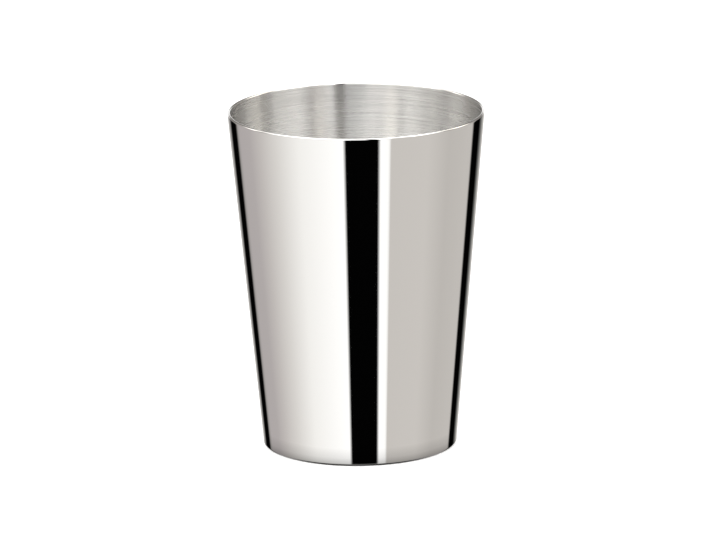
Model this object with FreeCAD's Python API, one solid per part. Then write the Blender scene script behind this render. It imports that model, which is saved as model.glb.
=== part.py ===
"""Deep drawn steel cup: one piece of sheet, in millimetres.

A round blank is drawn over a tapered punch. The wall comes out a little thinner than the
blank, the base keeps the blank's thickness, and the cut edge at the mouth is trimmed level and
burnished to a full round. The corner at the foot is struck tight on the outside, and the
middle of the base is pushed up, so that the cup stands on a ring.

The origin is on the axis, on the surface that the cup stands on, and +Z points up.
"""

import FreeCAD, Part
import math
import os

from FreeCAD import Vector

# The whole cup
HEIGHT = 100.0          # ground to the top of the lip
MOUTH_DIAMETER = 75.2   # across the outside of the lip
BASE_DIAMETER = 56.8    # where the outside of the wall would meet the ground

# The sheet
WALL_SHEET = 0.9        # wall, thinned by the draw
BASE_SHEET = 1.0        # base, as thick as the blank

# The foot
CORNER_RADIUS = 0.8     # outside corner between wall and base, struck tight
PUNCH_RADIUS = 2.5      # inside corner, the shape of the punch's nose
FOOT_LAND = 3.0         # flat of the floor between the inside corner and the push-up
PUSH_UP = 1.0           # rise of the middle of the base
PUSH_UP_SLOPE = 20.0    # slope of the push-up's side, in degrees
BEND_RADIUS = 1.2       # inside radius of the two bends of the push-up

OUTSIDE = 1
INSIDE = -1
LONGEST_ARC = math.radians(50)  # longer arcs are drawn in equal pieces, for fewer facets


class Wall:
    """The straight tapered wall and its round lip, seen in section."""

    def __init__(self):
        self.lip_radius = WALL_SHEET / 2
        self.lip_centre = Vector(MOUTH_DIAMETER / 2 - self.lip_radius, 0, HEIGHT - self.lip_radius)
        # The outside starts at the base's edge and passes the lip's centre half a sheet away.
        rise = self.lip_centre - Vector(BASE_DIAMETER / 2, 0, 0)
        self.taper = math.atan2(rise.x, rise.z) + math.asin(self.lip_radius / rise.Length)
        self.up = Vector(math.sin(self.taper), 0, math.cos(self.taper))
        self.out = Vector(math.cos(self.taper), 0, -math.sin(self.taper))

    def end(self, side):
        """Where the outside or inside face of the wall runs into the lip."""
        return self.lip_centre + self.out * (side * self.lip_radius)

    def at(self, z, side):
        """The point of the outside or inside face at height z."""
        end = self.end(side)
        return end + self.up * ((z - end.z) / self.up.z)

    def corner_run(self, radius):
        """How far along the base a corner of this radius reaches from the wall's face."""
        return radius / math.tan((math.pi / 2 + self.taper) / 2)


def line(start, end):
    return Part.LineSegment(start, end).toShape()


def arc(centre, start, end):
    """The shorter arc about a centre, in equal pieces no longer than LONGEST_ARC."""
    spoke = start - centre
    last_spoke = end - centre
    turn = spoke.getAngle(last_spoke)
    pieces = math.ceil(turn / LONGEST_ARC)

    def point(share):
        weights = math.sin((1 - share) * turn), math.sin(share * turn)
        return centre + (spoke * weights[0] + last_spoke * weights[1]) / math.sin(turn)

    points = [point(step / (2 * pieces)) for step in range(2 * pieces + 1)]
    return [Part.Arc(*points[2 * i : 2 * i + 3]).toShape() for i in range(pieces)]


def rounded_path(corners):
    """Straight runs through (point, radius) corners, with a tangent arc at each inner one."""
    edges = []
    here = corners[0][0]
    for (before, _), (corner, radius), (after, _) in zip(corners, corners[1:], corners[2:]):
        back = (before - corner).normalize()
        ahead = (after - corner).normalize()
        half_angle = back.getAngle(ahead) / 2
        reach = radius / math.tan(half_angle)
        centre = corner + (back + ahead).normalize() * (radius / math.sin(half_angle))
        edges.append(line(here, corner + back * reach))
        edges += arc(centre, corner + back * reach, corner + ahead * reach)
        here = corner + ahead * reach
    edges.append(line(here, corners[-1][0]))
    return edges


def lip(wall):
    """The full round between the wall's two faces, from the outside over the top."""
    top = wall.lip_centre + wall.up * wall.lip_radius
    outer_half = arc(wall.lip_centre, wall.end(OUTSIDE), top)
    inner_half = arc(wall.lip_centre, top, wall.end(INSIDE))
    return outer_half + inner_half


def push_up_corners(wall):
    """The push-up's corners from the foot inwards, on the floor and on the underside."""
    slope = math.radians(PUSH_UP_SLOPE)
    land_start = wall.at(BASE_SHEET, INSIDE).x - wall.corner_run(PUNCH_RADIUS)
    foot = land_start - FOOT_LAND - BEND_RADIUS * math.tan(slope / 2)
    top = foot - PUSH_UP / math.tan(slope)
    shift = BASE_SHEET * math.tan(slope / 2)
    outer_bend = BEND_RADIUS + BASE_SHEET
    floor = [
        (Vector(foot, 0, BASE_SHEET), BEND_RADIUS),
        (Vector(top, 0, BASE_SHEET + PUSH_UP), outer_bend),
    ]
    underside = [
        (Vector(foot - shift, 0, 0), outer_bend),
        (Vector(top - shift, 0, PUSH_UP), BEND_RADIUS),
    ]
    return floor, underside


def section():
    """The outline of the sheet on one side of the axis, as a closed face."""
    wall = Wall()
    floor, underside = push_up_corners(wall)
    under_middle = Vector(0, 0, PUSH_UP)
    floor_middle = Vector(0, 0, PUSH_UP + BASE_SHEET)

    outside = [(under_middle, 0)] + underside[::-1]
    outside += [(wall.at(0, OUTSIDE), CORNER_RADIUS), (wall.end(OUTSIDE), 0)]
    inside = [(wall.end(INSIDE), 0), (wall.at(BASE_SHEET, INSIDE), PUNCH_RADIUS)]
    inside += floor + [(floor_middle, 0)]

    edges = rounded_path(outside) + lip(wall) + rounded_path(inside)
    edges.append(line(floor_middle, under_middle))
    return Part.Face(Part.Wire(edges))


def main():
    axis = Vector(0, 0, 1)
    cup = section().revolve(Vector(0, 0, 0), axis, 360)
    os.makedirs("parts", exist_ok=True)
    cup.exportStep("parts/cup.step")
    box = cup.optimalBoundingBox()
    print("cup: %d solid, valid %s" % (len(cup.Solids), cup.isValid()))
    print("box %.2f x %.2f x %.2f mm" % (box.XLength, box.YLength, box.ZLength))
    print("metal %.2f cm3" % (cup.Volume / 1000))


main()
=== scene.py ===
import math

import bmesh
import bpy
from bpy.props import FloatProperty, FloatVectorProperty, IntProperty, PointerProperty
from mathutils import Matrix, Vector


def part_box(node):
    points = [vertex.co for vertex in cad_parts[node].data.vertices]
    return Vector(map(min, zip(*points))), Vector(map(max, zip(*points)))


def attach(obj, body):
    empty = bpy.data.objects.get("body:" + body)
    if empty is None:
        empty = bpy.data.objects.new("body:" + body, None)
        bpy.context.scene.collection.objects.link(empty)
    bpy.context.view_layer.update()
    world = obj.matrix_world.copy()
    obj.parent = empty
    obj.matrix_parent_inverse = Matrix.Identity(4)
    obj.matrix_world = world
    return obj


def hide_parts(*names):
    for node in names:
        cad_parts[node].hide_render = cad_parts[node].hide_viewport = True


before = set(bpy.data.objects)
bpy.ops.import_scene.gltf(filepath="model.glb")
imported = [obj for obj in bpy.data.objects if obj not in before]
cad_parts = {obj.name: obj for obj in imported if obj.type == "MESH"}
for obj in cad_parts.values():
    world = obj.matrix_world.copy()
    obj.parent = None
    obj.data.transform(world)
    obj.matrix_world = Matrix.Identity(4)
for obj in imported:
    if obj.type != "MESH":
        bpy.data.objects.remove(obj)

bl_info = {
    "name": "Deep drawn metal cup",
    "version": (1, 0, 0),
    "blender": (4, 5, 0),
    "location": "3D View > Sidebar > Drawn cup",
    "description": "The polished looks of a cup drawn from one piece of stainless sheet",
    "category": "Object",
}

CAD_LOW, CAD_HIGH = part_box("cup")
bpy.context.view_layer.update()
MM = 0.001

MERGE_DISTANCE = 0.001 * MM  # points closer than this are one point
CUT_TOLERANCE = 0.0001 * MM  # points this close to a cutting plane count as on it
WALL_STEPS = 12  # level rings share the wall into this many parts
CLEAR_OF_CORNER = 1.05  # height of the lowest ring, as a share of the corner's radius
CLEAR_OF_LIP = 0.6  # depth of the highest ring under the top, as a share of the wall's sheet
FLOOR_FACING = 0.5  # a face whose normal rises more than this belongs to the cup's floor

# Facets across each round of the section
BEND_SEGMENTS = 5
OUTER_BEND_SEGMENTS = 6
CORNER_SEGMENTS = 12
LIP_SEGMENTS = 8  # in each half of the lip
PUNCH_SEGMENTS = 14

# The shell's materials, by index
BUFFED = 0
BRUSHED = 1

# Textures, in cycles per metre, and shares of the finish's mean value
NOISE_LOW, NOISE_HIGH = 0.3, 0.7  # most of a noise texture's values lie between these
HAIRLINE_SCALE = (40, 40, 1600)
POLISH_SPREAD = (0.6, 1.4)
STREAK_SCALE = 22
SATIN_SPREAD = (0.85, 1.15)
SATIN_DARKEST = 0.92
GROOVE_DEPTH = 0.014 * MM

# Painted shade just above the foot, standing in for the floor's contact shadow seen in the
# polished wall: where it starts and ends, and the steel's brightness at the foot and part of the
# way up
PAINTED_SHADE_FROM, PAINTED_SHADE_TO = 0.5 * MM, 5.5 * MM
PAINTED_SHADE_AT_FOOT = 0.5
PAINTED_SHADE_PART_WAY, PAINTED_SHADE_THERE = 0.4, 0.8

SENSOR_WIDTH = 36
CLIP_END = 50
FLOOR_SEGMENTS = 96


def rgb(hex_colour):
    """An sRGB hex colour as linear red, green and blue."""
    parts = [int(hex_colour[i : i + 2], 16) / 255 for i in (0, 2, 4)]
    return [c / 12.92 if c <= 0.04045 else ((c + 0.055) / 1.055) ** 2.4 for c in parts]


def times(colour, share):
    """A colour with its brightness multiplied, and full alpha."""
    return (*[c * share for c in colour], 1)


# ---------------------------------------------------------------- what a user would change


class CupSizes(bpy.types.PropertyGroup):
    """Sizes of the drawn shell. The height and the mouth follow the CAD part."""

    height: FloatProperty(
        name="Height",
        description="From the ground to the top of the lip",
        default=CAD_HIGH.z - CAD_LOW.z,
        unit="LENGTH",
    )
    mouth_diameter: FloatProperty(
        name="Mouth diameter",
        description="Across the outside of the lip",
        default=CAD_HIGH.x - CAD_LOW.x,
        unit="LENGTH",
    )
    base_diameter: FloatProperty(
        name="Base diameter",
        description="Where the outside of the wall would meet the ground",
        default=56.8 * MM,
        unit="LENGTH",
    )
    wall_sheet: FloatProperty(
        name="Wall sheet",
        description="Thickness of the wall, thinned by the draw",
        default=0.9 * MM,
        unit="LENGTH",
    )
    base_sheet: FloatProperty(
        name="Base sheet",
        description="Thickness of the base",
        default=1.0 * MM,
        unit="LENGTH",
    )
    corner_radius: FloatProperty(
        name="Corner radius",
        description="Outside corner between wall and base",
        default=0.8 * MM,
        unit="LENGTH",
    )
    punch_radius: FloatProperty(
        name="Punch radius",
        description="Inside corner between wall and floor",
        default=2.5 * MM,
        unit="LENGTH",
    )
    foot_land: FloatProperty(
        name="Foot land",
        description="Flat of the floor between the inside corner and the push-up",
        default=3.0 * MM,
        unit="LENGTH",
    )
    push_up: FloatProperty(
        name="Push-up",
        description="Rise of the middle of the base",
        default=1.0 * MM,
        unit="LENGTH",
    )
    push_up_slope: FloatProperty(
        name="Push-up slope",
        description="Slope of the side of the push-up",
        default=math.radians(20),
        subtype="ANGLE",
    )
    bend_radius: FloatProperty(
        name="Bend radius",
        description="Inside radius of the two bends of the push-up",
        default=1.2 * MM,
        unit="LENGTH",
    )
    steps_round: IntProperty(
        name="Steps round",
        description="Facets in one full turn of the shell",
        default=288,
        min=48,
        max=512,
    )


class CupFinish(bpy.types.PropertyGroup):
    """Colours and polish of the steel."""

    steel_colour: FloatVectorProperty(
        name="Steel",
        description="Colour of the polished stainless steel",
        default=rgb("E8E7E5"),
        subtype="COLOR",
    )
    polish_roughness: FloatProperty(
        name="Polish roughness",
        description="Roughness of the buffed outside and lip",
        default=0.03,
        subtype="FACTOR",
    )
    satin_roughness: FloatProperty(
        name="Satin roughness",
        description="Mean roughness of the brushed inside",
        default=0.25,
        subtype="FACTOR",
    )
    line_spacing: FloatProperty(
        name="Line spacing",
        description="Spacing of the coarser lines that brushing leaves round the inside",
        default=0.35 * MM,
        unit="LENGTH",
    )


class StudioSet(bpy.types.PropertyGroup):
    """The pale studio and the camera."""

    camera_distance: FloatProperty(
        name="Camera distance",
        description="From the camera to the point it looks at",
        default=2.0,
        unit="LENGTH",
    )
    camera_elevation: FloatProperty(
        name="Camera elevation",
        description="Angle of the view above level",
        default=math.radians(14.1),
        subtype="ANGLE",
    )
    camera_roll: FloatProperty(
        name="Camera roll",
        description="Turn of the camera about its view",
        default=math.radians(-0.75),
        subtype="ANGLE",
    )
    camera_lens: FloatProperty(
        name="Lens",
        description="Focal length on a sensor 36 mm wide, in millimetres",
        default=342.6,
    )
    aim_height: FloatProperty(
        name="Aim height",
        description="Height of the point that the camera looks at, as a share of the cup's",
        default=0.519,
        subtype="FACTOR",
    )
    floor_radius: FloatProperty(
        name="Floor radius",
        description="Radius of the pale round floor",
        default=3.0,
        unit="LENGTH",
    )
    overhead: FloatProperty(
        name="Overhead light",
        description="Radiance of the large soft light above the set",
        default=2.4,
    )


# ---------------------------------------------------------------- the drawn shell


def section_corners(s):
    """The outline of the sheet on one side of the axis, as (x, z, radius, segments) corners.

    It starts under the middle of the base, runs out and up the outside, over the lip, down the
    inside and back to the axis on the floor. A corner of radius 0 stays sharp.
    """
    half_sheet = s.wall_sheet / 2
    lip = Vector((s.mouth_diameter / 2 - half_sheet, s.height - half_sheet))
    rise = lip - Vector((s.base_diameter / 2, 0))
    taper = math.atan2(rise.x, rise.y) + math.asin(half_sheet / rise.length)
    up = Vector((math.sin(taper), math.cos(taper)))
    out = Vector((math.cos(taper), -math.sin(taper)))
    outer_end = lip + out * half_sheet
    inner_end = lip - out * half_sheet

    def on_face(end, z):
        return end + up * ((z - end.y) / up.y)

    inner_foot = on_face(inner_end, s.base_sheet)
    outer_foot = on_face(outer_end, 0)
    land = inner_foot.x - s.punch_radius / math.tan((math.pi / 2 + taper) / 2)
    bend = math.tan(s.push_up_slope / 2)
    foot = land - s.foot_land - s.bend_radius * bend
    top = foot - s.push_up / math.tan(s.push_up_slope)
    shift = s.base_sheet * bend
    outer_bend = s.bend_radius + s.base_sheet
    crown = s.push_up + s.base_sheet
    return [
        (0, s.push_up, 0, 0),
        (top - shift, s.push_up, s.bend_radius, BEND_SEGMENTS),
        (foot - shift, 0, outer_bend, OUTER_BEND_SEGMENTS),
        (outer_foot.x, outer_foot.y, s.corner_radius, CORNER_SEGMENTS),
        (*(outer_end + up * half_sheet), half_sheet, LIP_SEGMENTS),
        (*(inner_end + up * half_sheet), half_sheet, LIP_SEGMENTS),
        (inner_foot.x, inner_foot.y, s.punch_radius, PUNCH_SEGMENTS),
        (foot, s.base_sheet, s.bend_radius, BEND_SEGMENTS),
        (top, crown, outer_bend, OUTER_BEND_SEGMENTS),
        (0, crown, 0, 0),
    ]


def draw_section(bm, corners):
    """Draws the outline as edges and rounds its corners."""
    points = [bm.verts.new((x, 0, z)) for x, z, _, _ in corners]
    for here, after in zip(points, points[1:]):
        bm.edges.new((here, after))
    for corner, (_, _, radius, segments) in zip(points, corners):
        if radius:
            ahead, back = [e.other_vert(corner).co - corner.co for e in corner.link_edges]
            reach = radius / math.tan(ahead.angle(back) / 2)
            bmesh.ops.bevel(
                bm,
                geom=[corner],
                offset=reach,
                offset_type="OFFSET",
                affect="VERTICES",
                segments=segments,
                profile=0.5,
                material=-1,
            )
    bmesh.ops.remove_doubles(bm, verts=bm.verts[:], dist=MERGE_DISTANCE)


def add_rings(bm, heights):
    """Cuts level rings into the long straight walls, so that their shading stays even."""
    for z in heights:
        bmesh.ops.bisect_plane(
            bm,
            geom=bm.verts[:] + bm.edges[:] + bm.faces[:],
            dist=CUT_TOLERANCE,
            plane_co=(0, 0, z),
            plane_no=(0, 0, 1),
        )


def make_piece(name, bm, materials):
    """Turns a finished bmesh into a smooth object on the CAD body."""
    bmesh.ops.remove_doubles(bm, verts=bm.verts[:], dist=MERGE_DISTANCE)
    bmesh.ops.recalc_face_normals(bm, faces=bm.faces[:])
    for face in bm.faces:
        face.smooth = True
    mesh = bpy.data.meshes.new(name)
    bm.to_mesh(mesh)
    bm.free()
    for material in materials:
        mesh.materials.append(material)
    piece = bpy.data.objects.new(name, mesh)
    bpy.context.scene.collection.objects.link(piece)
    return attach(piece, "root")


class DRAWNCUP_OT_shell(bpy.types.Operator):
    """Makes the drawn shell, polished outside and brushed inside, in place of the CAD node"""

    bl_idname = "drawn_cup.make_shell"
    bl_label = "Make the drawn shell"

    def execute(self, context):
        s = context.scene.drawn_cup_sizes
        finish = context.scene.drawn_cup_finish
        bm = bmesh.new()
        draw_section(bm, section_corners(s))
        wall = s.height - s.corner_radius
        guards = [
            s.corner_radius * CLEAR_OF_CORNER,
            s.height - s.wall_sheet * CLEAR_OF_LIP,
            s.punch_radius + s.base_sheet,
        ]
        evenly = [s.corner_radius + wall * step / WALL_STEPS for step in range(1, WALL_STEPS)]
        add_rings(bm, guards + evenly)
        bmesh.ops.spin(
            bm,
            geom=bm.verts[:] + bm.edges[:],
            cent=(0, 0, 0),
            axis=(0, 0, 1),
            angle=math.tau,
            steps=s.steps_round,
            use_merge=True,
        )
        shell = make_piece("cup_shell", bm, [buffed_steel(finish), brushed_steel(finish)])
        paint_inside(shell.data, s)
        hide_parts("cup")
        return {"FINISHED"}


def paint_inside(mesh, s):
    """Gives the brushed finish to the inside of the wall and the top of the floor."""
    rim = s.height - s.wall_sheet / 2
    for face in mesh.polygons:
        outwards = face.normal.x * face.center.x + face.normal.y * face.center.y
        on_floor = face.normal.z > FLOOR_FACING and face.center.z < s.height / 2
        inside = outwards < 0 and s.base_sheet < face.center.z < rim
        face.material_index = BRUSHED if inside or on_floor else BUFFED


# ---------------------------------------------------------------- finishes


def add(tree, kind, inputs=None, **settings):
    """Adds a node, gives it its settings, and fills or links its inputs."""
    node = tree.nodes.new(kind)
    for name, value in settings.items():
        setattr(node, name, value)
    for name, value in (inputs or {}).items():
        if isinstance(value, bpy.types.NodeSocket):
            tree.links.new(value, node.inputs[name])
        else:
            node.inputs[name].default_value = value
    return node


def empty_material(name):
    """A new material with an empty node tree, and that tree."""
    material = bpy.data.materials.new(name)
    material.use_nodes = True
    material.node_tree.nodes.clear()
    return material, material.node_tree


def buffed_steel(finish):
    """Stainless steel, drawn and then buffed on a lathe to a mirror.

    The wheel leaves hairlines round the cup, so its polish varies a little up the wall.
    """
    material, tree = empty_material("stainless_steel_mirror_buffed")
    place = add(tree, "ShaderNodeTexCoord").outputs["Object"]
    stretched = add(tree, "ShaderNodeMapping", {"Vector": place, "Scale": HAIRLINE_SCALE})
    hairlines = add(
        tree,
        "ShaderNodeTexNoise",
        {"Vector": stretched.outputs[0], "Scale": 1, "Detail": 3},
    )
    roughness = add(
        tree,
        "ShaderNodeMapRange",
        {
            "Value": hairlines.outputs[0],
            "From Min": NOISE_LOW,
            "From Max": NOISE_HIGH,
            "To Min": finish.polish_roughness * POLISH_SPREAD[0],
            "To Max": finish.polish_roughness * POLISH_SPREAD[1],
        },
    )
    # Painted shade: the last few millimetres above the foot are darkened, standing in for
    # the floor's contact shadow reflected in the polished wall.
    level = add(tree, "ShaderNodeSeparateXYZ", {"Vector": place}).outputs["Z"]
    reach = add(
        tree,
        "ShaderNodeMapRange",
        {"Value": level, "From Min": PAINTED_SHADE_FROM, "From Max": PAINTED_SHADE_TO},
    )
    colour = add(tree, "ShaderNodeValToRGB", {"Fac": reach.outputs[0]})
    ramp = colour.color_ramp
    ramp.elements[0].color = times(finish.steel_colour, PAINTED_SHADE_AT_FOOT)
    ramp.elements[1].color = times(finish.steel_colour, 1)
    painted_shade_stop = ramp.elements.new(PAINTED_SHADE_PART_WAY)
    painted_shade_stop.color = times(finish.steel_colour, PAINTED_SHADE_THERE)
    shader = add(
        tree,
        "ShaderNodeBsdfPrincipled",
        {
            "Base Color": colour.outputs[0],
            "Metallic": 1,
            "Roughness": roughness.outputs[0],
        },
    )
    add(tree, "ShaderNodeOutputMaterial", {"Surface": shader.outputs[0]})
    return material


def brushed_steel(finish):
    """The same steel inside, left with the satin of an abrasive turned round the axis.

    Its lines run round the cup, so a reflection stays narrow round the cup and is drawn out in
    height.
    """
    material, tree = empty_material("stainless_steel_satin_brushed")
    place = add(tree, "ShaderNodeTexCoord").outputs["Object"]
    xyz = add(tree, "ShaderNodeSeparateXYZ", {"Vector": place})
    level = add(tree, "ShaderNodeCombineXYZ", {"X": xyz.outputs["X"], "Y": xyz.outputs["Y"]})
    radius = add(tree, "ShaderNodeVectorMath", {0: level.outputs[0]}, operation="LENGTH")
    # Up the wall and out along the floor, so that the lines turn into rings on the floor.
    along = add(
        tree,
        "ShaderNodeMath",
        {0: xyz.outputs["Z"], 1: radius.outputs["Value"]},
        operation="SUBTRACT",
    )
    lines_at = add(
        tree,
        "ShaderNodeCombineXYZ",
        {"X": xyz.outputs["X"], "Y": xyz.outputs["Y"], "Z": along.outputs[0]},
    )
    stretched = add(
        tree,
        "ShaderNodeMapping",
        {
            "Vector": lines_at.outputs[0],
            "Scale": (STREAK_SCALE, STREAK_SCALE, 1 / finish.line_spacing),
        },
    )
    lines = add(
        tree,
        "ShaderNodeTexNoise",
        {"Vector": stretched.outputs[0], "Scale": 1, "Detail": 2, "Roughness": 0.5},
    )
    roughness = add(
        tree,
        "ShaderNodeMapRange",
        {
            "Value": lines.outputs[0],
            "From Min": NOISE_LOW,
            "From Max": NOISE_HIGH,
            "To Min": finish.satin_roughness * SATIN_SPREAD[0],
            "To Max": finish.satin_roughness * SATIN_SPREAD[1],
        },
    )
    colour = add(tree, "ShaderNodeValToRGB", {"Fac": lines.outputs[0]})
    ramp = colour.color_ramp
    ramp.elements[0].position = NOISE_LOW
    ramp.elements[0].color = times(finish.steel_colour, SATIN_DARKEST)
    ramp.elements[1].position = NOISE_HIGH
    ramp.elements[1].color = times(finish.steel_colour, 1)
    grooves = add(tree, "ShaderNodeBump", {"Height": lines.outputs[0], "Distance": GROOVE_DEPTH})
    round_axis = add(tree, "ShaderNodeTangent", direction_type="RADIAL", axis="Z")
    shader = add(
        tree,
        "ShaderNodeBsdfPrincipled",
        {
            "Base Color": colour.outputs[0],
            "Metallic": 1,
            "Roughness": roughness.outputs[0],
            "Anisotropic": 1,
            "Anisotropic Rotation": 0.25,
            "Tangent": round_axis.outputs[0],
            "Normal": grooves.outputs[0],
        },
    )
    add(tree, "ShaderNodeOutputMaterial", {"Surface": shader.outputs[0]})
    return material


# ---------------------------------------------------------------- the studio

# What stands round the set, by compass angle from the camera, positive to the camera's right:
# (angle in degrees, sRGB colour, times its radiance). The cup's wall leans out, so it reflects
# the low ring, at table height. The lip also reflects the level one, and the inside the high one.
LOW_RING = [
    (-180, "F0EEEA", 1.0),
    (-170, "DDDAD8", 1.0),
    (-163, "B8B6B4", 1.0),
    (-157, "7A7876", 1.0),
    (-154, "030303", 1.0),
    (-140, "030303", 1.0),
    (-136.5, "A8A4A2", 1.0),
    (-132, "BDB7B7", 1.0),
    (-115, "C0BABA", 1.0),
    (-100, "D2CDCB", 1.0),
    (-80, "EBE8E5", 1.0),
    (-55, "FAF9F7", 1.15),
    (-12, "FFFFFF", 1.3),
    (-10.5, "030303", 1.0),
    (20.5, "030303", 1.0),
    (22, "FFFFFF", 1.3),
    (30.5, "FFFFFF", 1.25),
    (32, "DAD6D2", 1.0),
    (70, "DCD8D4", 1.0),
    (95, "CECAC6", 1.0),
    (126, "D2CECA", 1.0),
    (131.5, "D0CCC8", 1.0),
    (134.5, "030303", 1.0),
    (149, "030303", 1.0),
    (155, "6E6E6C", 1.0),
    (163, "BCBAB6", 1.0),
    (171, "DDDBD8", 1.0),
    (180, "F0EEEA", 1.0),
]
LEVEL_RING = [
    (-180, "FFFFFF", 1.3),
    (-162, "FFFFFF", 1.3),
    (-150, "A09C98", 1.0),
    (-100, "A8A4A0", 1.0),
    (-12, "D0CCCA", 1.0),
    (-10.5, "030303", 1.0),
    (20.5, "030303", 1.0),
    (22, "D0CCCA", 1.0),
    (100, "A8A4A0", 1.0),
    (150, "A09C98", 1.0),
    (162, "FFFFFF", 1.3),
    (180, "FFFFFF", 1.3),
]
HIGH_RING = [
    (-180, "605C58", 1.0),
    (-142, "807C78", 1.0),
    (-136, "B8B4B0", 1.1),
    (-124, "B8B4B0", 1.3),
    (-119, "FFFCF8", 2.7),
    (-106, "FFFCF8", 2.7),
    (-102, "625E5A", 1.0),
    (-94, "625E5A", 1.0),
    (-87, "FFFEFC", 2.0),
    (-50, "FFFEFC", 2.3),
    (-30, "FFFFFF", 2.1),
    (-16, "FFFFFF", 2.4),
    (-7, "FFFFFF", 2.4),
    (-5, "FFFFFF", 2.1),
    (9, "FFFFFF", 2.0),
    (12, "303030", 1.0),
    (19, "303030", 1.0),
    (21.5, "FFFFFF", 2.4),
    (28, "FFFFFF", 2.0),
    (32, "E8E4E2", 1.2),
    (50, "E8E4E2", 1.2),
    (54, "FFFEFC", 2.3),
    (84, "FFFEFC", 1.9),
    (89, "605850", 1.0),
    (100, "605850", 1.0),
    (105, "FFFAF0", 3.0),
    (121, "FFFAF0", 3.0),
    (126, "B8B4B4", 1.0),
    (140, "A8A4A0", 1.0),
    (146, "706C68", 1.0),
    (180, "605C58", 1.0),
]
# The canopy over the set, in the same way, but with the radiance of the overhead light.
CANOPY_RING = [
    (-180, "FFFFFF"),
    (-12, "FFFFFF"),
    (-10, "030303"),
    (20, "030303"),
    (22, "FFFFFF"),
    (180, "FFFFFF"),
]
UNDER_TABLE = (0.02, 0.02, 0.02, 1)
TABLE = (0.55, 0.54, 0.53, 1)
WHITE = (1, 1, 1, 1)


def ring_colour(tree, turn, stops):
    """A ramp of colours round the set, read at the given share of a full turn."""
    node = add(tree, "ShaderNodeValToRGB", {"Fac": turn})
    elements = node.color_ramp.elements
    elements.remove(elements[1])
    for index, (angle, hex_colour, radiance) in enumerate(stops):
        position = (angle + 180) / 360
        stop = elements[0] if index == 0 else elements.new(position)
        stop.position = position
        stop.color = times(rgb(hex_colour), radiance)
    return node.outputs["Color"]


def studio_light(world, overhead):
    """Soft panels round the cup, a large soft light above it and a dark floor line below."""
    world.use_nodes = True
    tree = world.node_tree
    tree.nodes.clear()
    direction = add(tree, "ShaderNodeTexCoord").outputs["Generated"]
    xyz = add(tree, "ShaderNodeSeparateXYZ", {"Vector": direction})
    toward = add(tree, "ShaderNodeMath", {0: xyz.outputs["Y"], 1: -1}, operation="MULTIPLY")
    angle = add(
        tree,
        "ShaderNodeMath",
        {0: xyz.outputs["X"], 1: toward.outputs[0]},
        operation="ARCTAN2",
    )
    turn = add(
        tree,
        "ShaderNodeMapRange",
        {"Value": angle.outputs[0], "From Min": -math.pi, "From Max": math.pi},
    ).outputs[0]
    height = add(tree, "ShaderNodeMath", {0: xyz.outputs["Z"]}, operation="ARCSINE").outputs[0]

    canopy = [(degrees, grey, overhead) for degrees, grey in CANOPY_RING]
    # From straight below upwards: the elevation at which each layer takes over from the one
    # under it, the width of that soft edge, both in degrees, and the layer.
    layers = [
        (-50, 16, TABLE),
        (-34, 14, ring_colour(tree, turn, LOW_RING)),
        (-6, 4, ring_colour(tree, turn, LEVEL_RING)),
        (13, 6, ring_colour(tree, turn, HIGH_RING)),
        (50, 30, ring_colour(tree, turn, canopy)),
        (84, 8, (overhead, overhead, overhead, 1)),
    ]
    sky = UNDER_TABLE
    for elevation, soft, layer in layers:
        share = add(
            tree,
            "ShaderNodeMapRange",
            {
                "Value": height,
                "From Min": math.radians(elevation - soft / 2),
                "From Max": math.radians(elevation + soft / 2),
            },
            interpolation_type="SMOOTHSTEP",
        ).outputs[0]
        mix = add(tree, "ShaderNodeMix", {0: share, 6: sky, 7: layer}, data_type="RGBA")
        sky = mix.outputs[2]
    # The camera itself sees plain white behind the set.
    seen = add(tree, "ShaderNodeLightPath").outputs["Is Camera Ray"]
    behind = add(tree, "ShaderNodeMix", {0: seen, 6: sky, 7: WHITE}, data_type="RGBA")
    shader = add(tree, "ShaderNodeBackground", {"Color": behind.outputs[2], "Strength": 1})
    add(tree, "ShaderNodeOutputWorld", {"Surface": shader.outputs[0]})


def pale_floor():
    """Seamless white paper, matt, lit evenly enough to read as white."""
    material, tree = empty_material("paper_seamless_white")
    place = add(tree, "ShaderNodeTexCoord").outputs["Object"]
    grain = add(tree, "ShaderNodeTexNoise", {"Vector": place, "Scale": 300, "Detail": 2})
    shade = add(tree, "ShaderNodeValToRGB", {"Fac": grain.outputs[0]})
    shade.color_ramp.elements[0].color = (*rgb("F2F2F2"), 1)
    shade.color_ramp.elements[1].color = (*rgb("F6F6F6"), 1)
    paper = add(
        tree,
        "ShaderNodeBsdfPrincipled",
        {
            "Base Color": shade.outputs[0],
            "Roughness": 0.9,
            "Specular IOR Level": 0.1,
            "Emission Color": WHITE,
            "Emission Strength": 0.25,
        },
    )
    add(tree, "ShaderNodeOutputMaterial", {"Surface": paper.outputs[0]})
    return material


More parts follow.
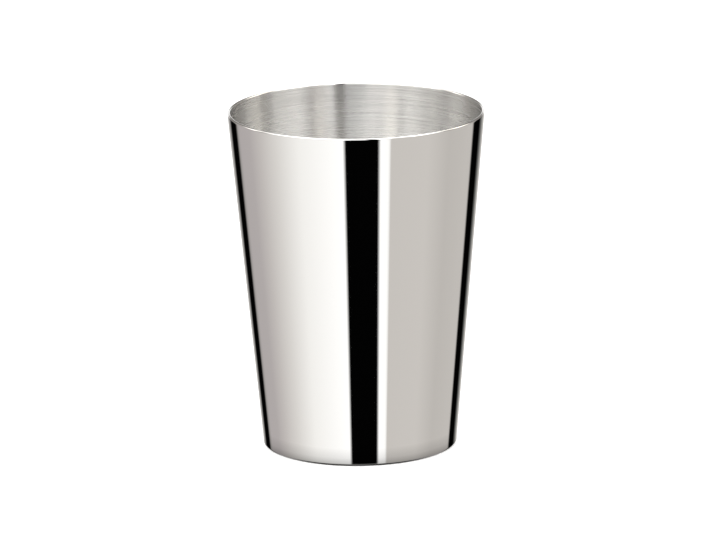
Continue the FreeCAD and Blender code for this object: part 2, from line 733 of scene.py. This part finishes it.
class DRAWNCUP_OT_studio(bpy.types.Operator):
    """Makes the pale floor, the soft light round the cup and the camera"""

    bl_idname = "drawn_cup.make_studio"
    bl_label = "Make the studio"

    def execute(self, context):
        scene = context.scene
        studio = scene.drawn_cup_studio
        sizes = scene.drawn_cup_sizes
        bm = bmesh.new()
        bmesh.ops.create_circle(
            bm,
            cap_ends=True,
            radius=studio.floor_radius,
            segments=FLOOR_SEGMENTS,
        )
        mesh = bpy.data.meshes.new("floor")
        bm.to_mesh(mesh)
        bm.free()
        mesh.materials.append(pale_floor())
        floor = bpy.data.objects.new("floor", mesh)
        scene.collection.objects.link(floor)
        floor.visible_glossy = False

        if scene.world is None:
            scene.world = bpy.data.worlds.new("studio")
        studio_light(scene.world, studio.overhead)

        camera = bpy.data.cameras.new("camera")
        camera.sensor_width = SENSOR_WIDTH
        camera.lens = studio.camera_lens
        camera.clip_end = CLIP_END
        holder = bpy.data.objects.new("camera", camera)
        scene.collection.objects.link(holder)
        aim = Vector((0, 0, sizes.height * studio.aim_height))
        tilt = studio.camera_elevation
        back = Vector((0, -math.cos(tilt), math.sin(tilt)))
        up = Vector((0, math.sin(tilt), math.cos(tilt)))
        right = Vector((1, 0, 0))
        roll = Matrix.Rotation(studio.camera_roll, 3, "Z")
        turned = Matrix((right, up, back)).transposed() @ roll
        place = Matrix.Translation(aim + back * studio.camera_distance)
        holder.matrix_world = place @ turned.to_4x4()
        scene.camera = holder
        scene.view_settings.view_transform = "Standard"
        scene.view_settings.look = "None"
        return {"FINISHED"}


# ---------------------------------------------------------------- the add-on


class DRAWNCUP_PT_panel(bpy.types.Panel):
    """The sizes, finishes and studio of the cup, with a button for each operator"""

    bl_idname = "DRAWNCUP_PT_panel"
    bl_label = "Deep drawn metal cup"
    bl_space_type = "VIEW_3D"
    bl_region_type = "UI"
    bl_category = "Drawn cup"

    def draw(self, context):
        for group in ("drawn_cup_sizes", "drawn_cup_finish", "drawn_cup_studio"):
            settings = getattr(context.scene, group)
            column = self.layout.column()
            for name in settings.bl_rna.properties.keys():
                if name not in ("rna_type", "name"):
                    column.prop(settings, name)
        for operator in (DRAWNCUP_OT_shell, DRAWNCUP_OT_studio):
            self.layout.operator(operator.bl_idname)


CLASSES = (
    CupSizes,
    CupFinish,
    StudioSet,
    DRAWNCUP_OT_shell,
    DRAWNCUP_OT_studio,
    DRAWNCUP_PT_panel,
)


def register():
    for cls in CLASSES:
        bpy.utils.register_class(cls)
    bpy.types.Scene.drawn_cup_sizes = PointerProperty(type=CupSizes)
    bpy.types.Scene.drawn_cup_finish = PointerProperty(type=CupFinish)
    bpy.types.Scene.drawn_cup_studio = PointerProperty(type=StudioSet)


def unregister():
    del bpy.types.Scene.drawn_cup_studio
    del bpy.types.Scene.drawn_cup_finish
    del bpy.types.Scene.drawn_cup_sizes
    for cls in reversed(CLASSES):
        bpy.utils.unregister_class(cls)


def main():
    register()
    bpy.ops.drawn_cup.make_shell()
    bpy.ops.drawn_cup.make_studio()
    bpy.context.view_layer.update()


if __name__ == "__main__":
    main()
